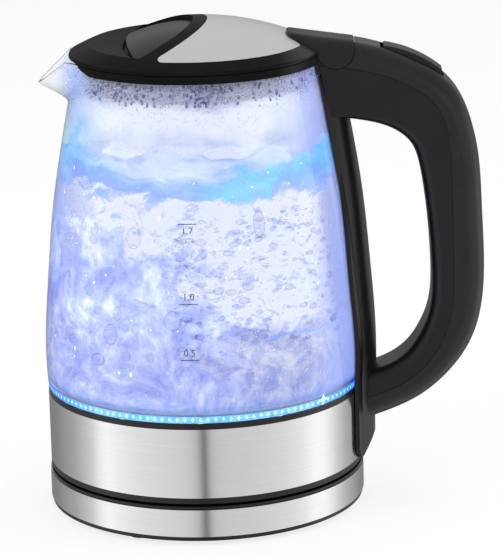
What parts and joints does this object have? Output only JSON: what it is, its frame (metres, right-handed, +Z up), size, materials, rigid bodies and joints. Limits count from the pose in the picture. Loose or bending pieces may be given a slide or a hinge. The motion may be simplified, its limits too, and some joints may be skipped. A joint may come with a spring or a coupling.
{
  "type": "electric kettle",
  "caption": "Cordless glass kettle on a round power base, with beak spout, hinged lid with finger grip, loop handle with rocker switch, and steel bands round foot and base.",
  "frame": {"origin": "the power base's axis on the standing plane, between the feet", "axes": "+Z up, +X towards the handle, -X towards the spout, +Y towards the cord inlet"},
  "size_m": [0.2235, 0.1615, 0.2484],
  "materials": {
    "foot_rubber": "matte",
    "black_plastic": "fine satin",
    "connector_plastic": "plain",
    "grey_plastic": "half gloss",
    "pale_plastic": "plain",
    "brushed_steel": "level brushed grain",
    "heater_steel": "fine ground",
    "satin_metal": "satin",
    "screw_steel": "bright",
    "contact_brass": "bright",
    "element_metal": "cast",
    "silicone": "soft",
    "cable_jacket": "matte",
    "board": "plain",
    "lamp": "clear blue",
    "clear_glass": "clear polished"
  },
  "bodies": {
    "power_base": {"base_bottom_plate": "black_plastic", "base_steel_band": "brushed_steel", "base_top_cover": "black_plastic", "base_feet": "foot_rubber", "base_screws": "screw_steel", "cord_gland": "black_plastic", "base_connector": "connector_plastic", "base_contacts": "contact_brass"},
    "coupler": {"jug_coupler": "connector_plastic", "jug_contacts": "contact_brass"},
    "jug": {"glass_jug": "clear_glass", "glass_seat_ring": "black_plastic", "glass_seal": "silicone", "jug_skirt": "brushed_steel", "jug_bottom_cover": "black_plastic", "foot_screws": "screw_steel", "heater_plate": "heater_steel", "heating_element": "element_metal", "control_housing": "pale_plastic", "light_board": "board", "lights": "lamp", "collar": "black_plastic", "handle_outer_shell": "black_plastic", "handle_inner_shell": "black_plastic", "handle_spine": "black_plastic", "handle_screws": "screw_steel", "spine_cable": "cable_jacket", "lid_hinge_pin": "screw_steel", "steam_switch_frame": "pale_plastic", "bimetal_disc": "contact_brass", "steam_tube": "silicone"},
    "lid": {"lid_top": "black_plastic", "lid_plate": "satin_metal", "lid_grip": "grey_plastic", "lid_cup": "black_plastic", "lid_seal": "silicone", "lid_screws": "screw_steel"},
    "switch": {"switch_rocker": "black_plastic", "trip_lever": "pale_plastic"}
  },
  "joints": [
    {"name": "jug_lift", "type": "slide", "parent": "power_base", "child": "coupler", "axis": [0, 0, 1], "range_m": [0, 0.08]},
    {"name": "jug_swivel", "type": "hinge", "parent": "coupler", "child": "jug", "pos_m": [0, 0, 0.03], "axis": [0, 0, 1], "continuous": true},
    {"name": "lid_hinge", "type": "hinge", "parent": "jug", "child": "lid", "pos_m": [0.0698, 0, 0.2335], "axis": [0, 1, 0], "range_deg": [0, 80]},
    {"name": "switch_rock", "type": "hinge", "parent": "jug", "child": "switch", "pos_m": [0.10541, 0, 0.22095], "axis": [0, 1, 0], "range_deg": [-8, 0]}
  ]
}
